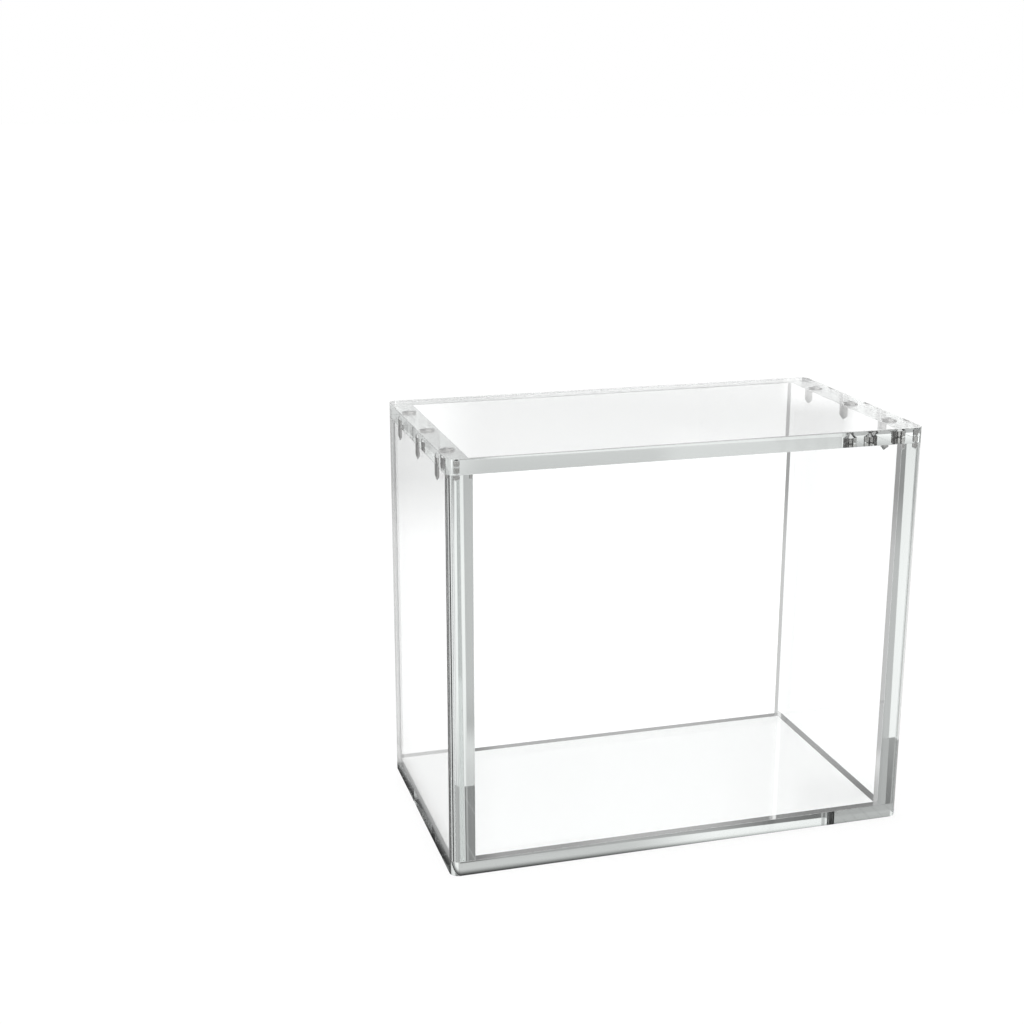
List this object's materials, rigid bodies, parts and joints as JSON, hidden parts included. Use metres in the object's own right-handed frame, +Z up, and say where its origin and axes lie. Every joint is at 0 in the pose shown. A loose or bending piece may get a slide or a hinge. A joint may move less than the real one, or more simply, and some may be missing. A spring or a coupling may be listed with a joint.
{
  "type": "booster box display case",
  "caption": "Clear acrylic display case for one boxed item, with thick side walls and a full-size lift-off lid that hidden magnet pairs hold shut.",
  "frame": {"origin": "middle of the base plate's underside, which the case stands on", "axes": "+Z up, the wide front faces -Y, +X along the width to the right as seen from the front"},
  "size_m": [0.16, 0.088, 0.139],
  "materials": {
    "clear_acrylic": "clear cast acrylic sheet with polished faces and flame-polished edges",
    "nickel_magnet": "bright nickel plating, faintly brushed"
  },
  "bodies": {
    "case": {"base_plate": "clear_acrylic", "front_panel": "clear_acrylic", "back_panel": "clear_acrylic", "left_panel": "clear_acrylic", "right_panel": "clear_acrylic", "wall_magnet_left_front": "nickel_magnet", "wall_magnet_left_middle": "nickel_magnet", "wall_magnet_left_back": "nickel_magnet", "wall_magnet_right_front": "nickel_magnet", "wall_magnet_right_middle": "nickel_magnet", "wall_magnet_right_back": "nickel_magnet"},
    "lid": {"lid_plate": "clear_acrylic", "lid_magnet_left_front": "nickel_magnet", "lid_magnet_left_middle": "nickel_magnet", "lid_magnet_left_back": "nickel_magnet", "lid_magnet_right_front": "nickel_magnet", "lid_magnet_right_middle": "nickel_magnet", "lid_magnet_right_back": "nickel_magnet"}
  },
  "joints": [
    {"name": "lid_lift", "type": "slide", "parent": "case", "child": "lid", "axis": [0, 0, 1], "range_m": [0, 0.15]}
  ]
}
